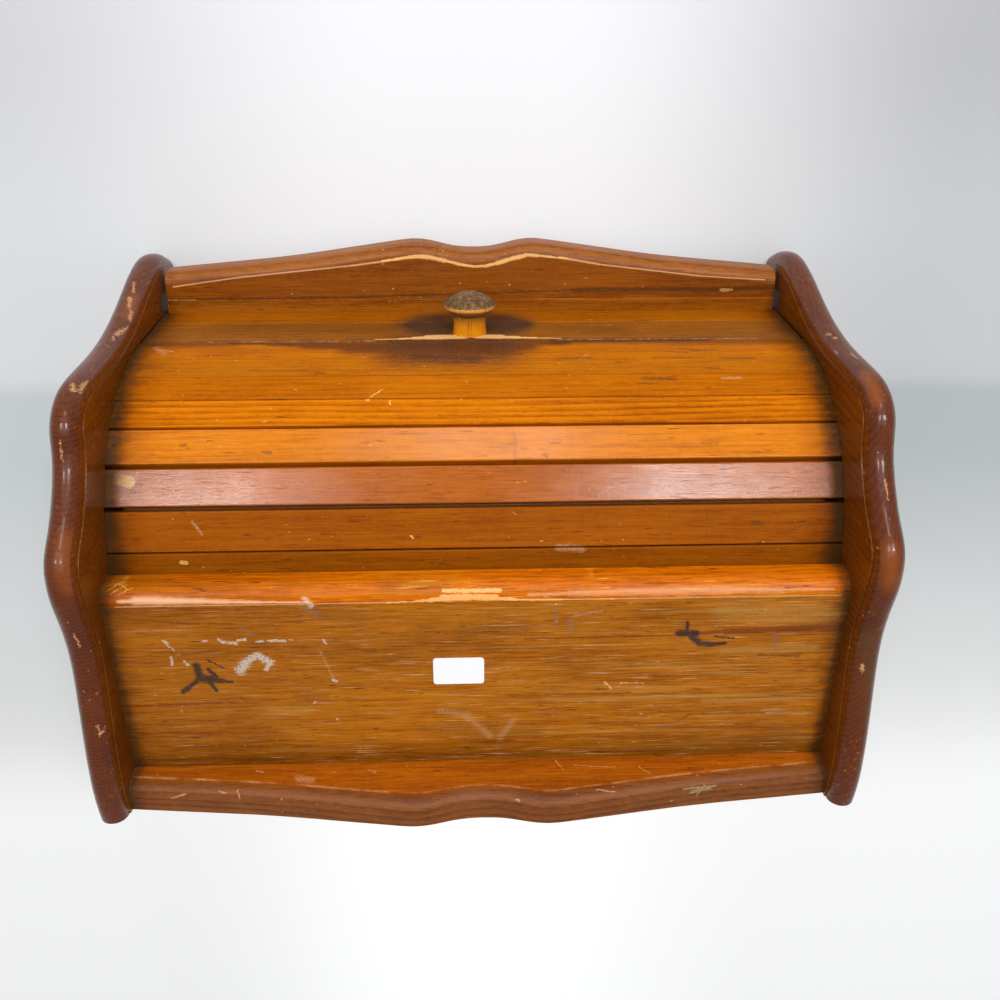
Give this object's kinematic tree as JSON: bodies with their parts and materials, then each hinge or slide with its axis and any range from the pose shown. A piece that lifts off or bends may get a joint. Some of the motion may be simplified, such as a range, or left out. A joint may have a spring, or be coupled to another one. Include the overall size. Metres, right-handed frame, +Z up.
{
  "type": "roll-top bread box",
  "caption": "Roll-top bread box of varnished pine with scalloped boards, S-curved sides and a slatted tambour curtain that rolls up by its knob.",
  "frame": {"origin": "bottom centre of the bounding box, on the surface the feet stand on", "axes": "+Z up, the front with the knob faces -Y, +X towards the right-hand side panel seen from the front"},
  "size_m": [0.402, 0.2504, 0.2422],
  "materials": {
    "pine_sides": "worn clear varnish over stained pine",
    "pine_shelf": "worn clear varnish over stained pine",
    "pine_gallery": "worn clear varnish over stained pine",
    "pine_floor": "worn clear varnish over stained pine",
    "pine_front_board": "worn clear varnish over stained pine",
    "plywood_back": "unvarnished",
    "beech_dowels": "bare wood",
    "steel_fasteners": "bright zinc, satin",
    "label_paper": "plain white gloss paper",
    "pine_lead_rail": "worn clear varnish over stained pine",
    "pine_handle_rail": "worn clear varnish over stained pine",
    "canvas": "natural cotton, glued flat",
    "turned_knob": "worn varnish",
    "pine_slat_01": "worn clear varnish over stained pine",
    "pine_slat_02": "worn clear varnish over stained pine",
    "pine_slat_03": "worn clear varnish over stained pine",
    "pine_slat_04": "worn clear varnish over stained pine",
    "pine_slat_05": "worn clear varnish over stained pine",
    "pine_slat_06": "worn clear varnish over stained pine",
    "pine_slat_07": "worn clear varnish over stained pine",
    "pine_slat_08": "worn clear varnish over stained pine",
    "pine_slat_09": "worn clear varnish over stained pine",
    "pine_slat_10": "worn clear varnish over stained pine"
  },
  "bodies": {
    "case": {"side_panel_left": "pine_sides", "side_panel_right": "pine_sides", "top_shelf": "pine_shelf", "gallery_board": "pine_gallery", "floor_board": "pine_floor", "base_front_board": "pine_front_board", "back_panel": "plywood_back", "shelf_dowels": "beech_dowels", "gallery_end_dowels": "beech_dowels", "gallery_rear_dowels": "beech_dowels", "front_board_dowels": "beech_dowels", "back_panel_nails": "steel_fasteners", "paper_label": "label_paper"},
    "curtain": {"slat_01": "pine_slat_01", "slat_02": "pine_slat_02", "slat_03": "pine_slat_03", "slat_04": "pine_slat_04", "slat_05": "pine_slat_05", "slat_06": "pine_slat_06", "slat_07": "pine_slat_07", "slat_08": "pine_slat_08", "slat_09": "pine_slat_09", "slat_10": "pine_slat_10", "lead_rail": "pine_lead_rail", "handle_rail": "pine_handle_rail", "tambour_canvas": "canvas", "knob": "turned_knob", "knob_screw": "steel_fasteners"}
  },
  "joints": [
    {"name": "curtain_roll", "type": "hinge", "parent": "case", "child": "curtain", "pos_m": [0, 0.0139, 0.09433], "axis": [-1, 0, 0], "range_deg": [0, 80]}
  ]
}
